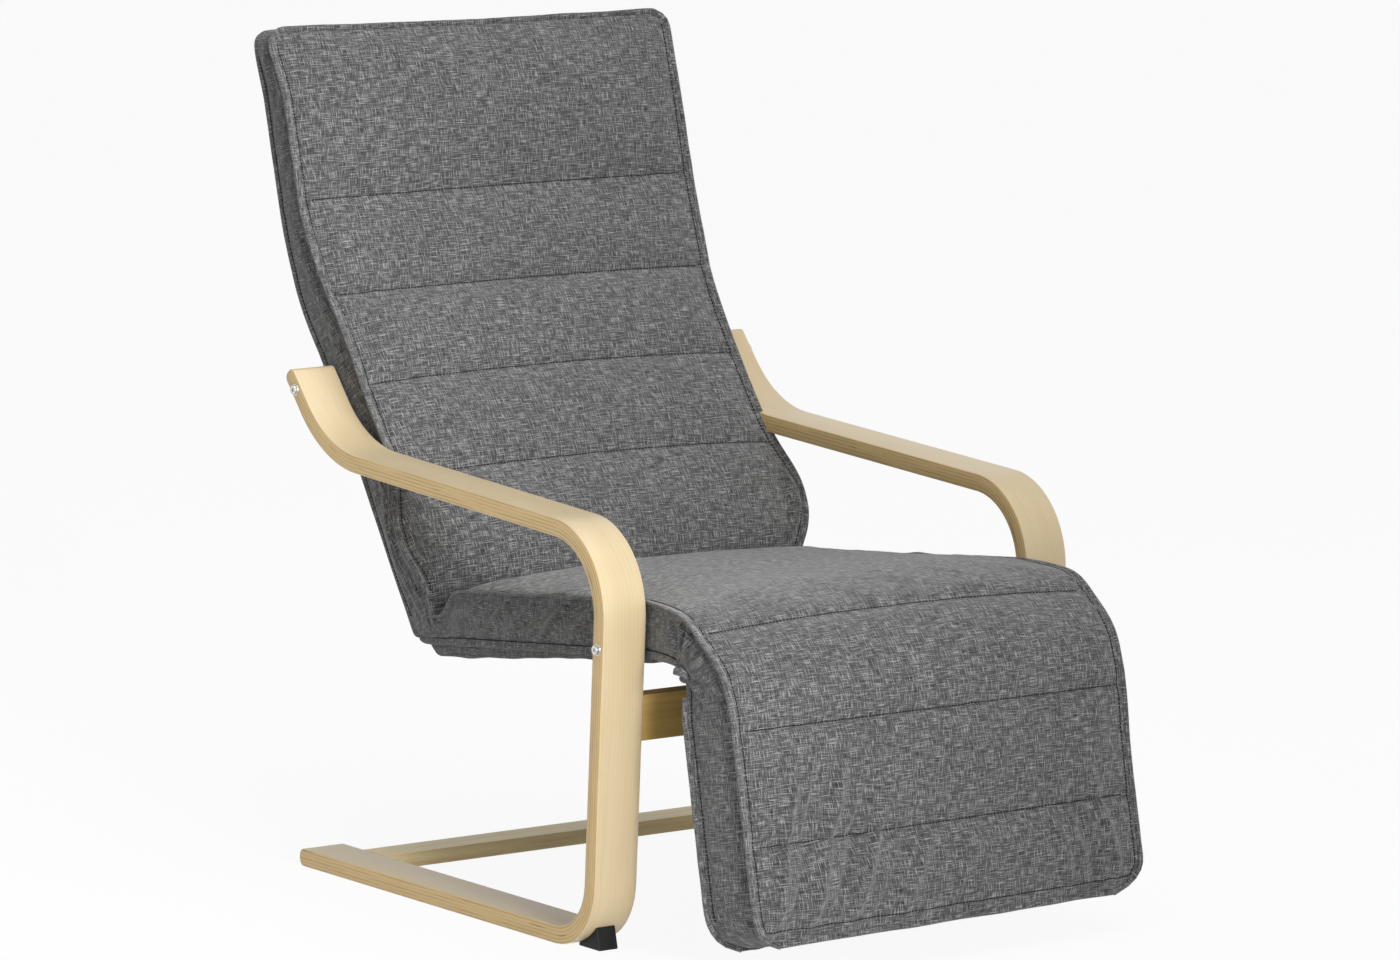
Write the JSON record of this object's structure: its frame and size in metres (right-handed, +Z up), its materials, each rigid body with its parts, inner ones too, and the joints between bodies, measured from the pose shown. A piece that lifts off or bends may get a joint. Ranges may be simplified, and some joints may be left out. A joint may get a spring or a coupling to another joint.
{
  "type": "reclining armchair",
  "caption": "Bentwood lounge armchair with cantilever sides, a channel-sewn padded back and seat, and a padded leg rest that swings up in front on hidden friction hinges.",
  "frame": {"origin": "on the floor, under the middle of the chair's overall box, leg rest hanging", "axes": "+Z up, -Y the way the sitter looks, +X to the sitter's left"},
  "size_m": [0.6654, 1.0246, 0.9964],
  "materials": {
    "birch_ply": "satin",
    "frame_birch": "matte",
    "foot_plastic": "matte",
    "zinc_steel": "satin",
    "plate_steel": "satin",
    "friction_lining": "matte",
    "grey_upholstery": "matte",
    "foam": "matte"
  },
  "bodies": {
    "chair": {"side_frame_right": "birch_ply", "side_frame_left": "birch_ply", "front_stretcher": "birch_ply", "rear_crossbar": "birch_ply", "seat_rail_right": "frame_birch", "seat_rail_left": "frame_birch", "back_stile_right": "frame_birch", "back_stile_left": "frame_birch", "seat_slats": "frame_birch", "back_slats": "frame_birch", "seat_front_rail": "frame_birch", "back_top_rail": "frame_birch", "front_stretcher_dowels": "frame_birch", "rear_crossbar_dowels": "frame_birch", "front_foot_right": "foot_plastic", "front_foot_left": "foot_plastic", "seat_bolts": "zinc_steel", "back_bolts": "zinc_steel", "bolt_washers": "zinc_steel", "bolt_spacers": "zinc_steel", "threaded_inserts": "zinc_steel", "foot_screws": "zinc_steel", "corner_screws": "zinc_steel", "hinge_seat_screws": "zinc_steel", "hinge_pivots": "zinc_steel", "disc_springs": "zinc_steel", "hinge_lock_nuts": "zinc_steel", "corner_plate_right": "plate_steel", "corner_plate_left": "plate_steel", "hinge_seat_leaf_right": "plate_steel", "hinge_seat_leaf_left": "plate_steel", "friction_washers": "friction_lining", "back_cover": "grey_upholstery", "seat_cover": "grey_upholstery", "back_foam": "foam", "seat_foam": "foam"},
    "leg_rest": {"leg_rest_rail_right": "frame_birch", "leg_rest_rail_left": "frame_birch", "leg_rest_slats": "frame_birch", "leg_rest_end_rail": "frame_birch", "leg_rest_cover": "grey_upholstery", "leg_rest_foam": "foam", "hinge_leg_leaf_right": "plate_steel", "hinge_leg_leaf_left": "plate_steel", "hinge_leg_screws": "zinc_steel"}
  },
  "joints": [
    {"name": "leg_rest_hinge", "type": "hinge", "parent": "chair", "child": "leg_rest", "pos_m": [0, -0.39851, 0.328], "axis": [-1, 0, 0], "range_deg": [0, 75]}
  ]
}
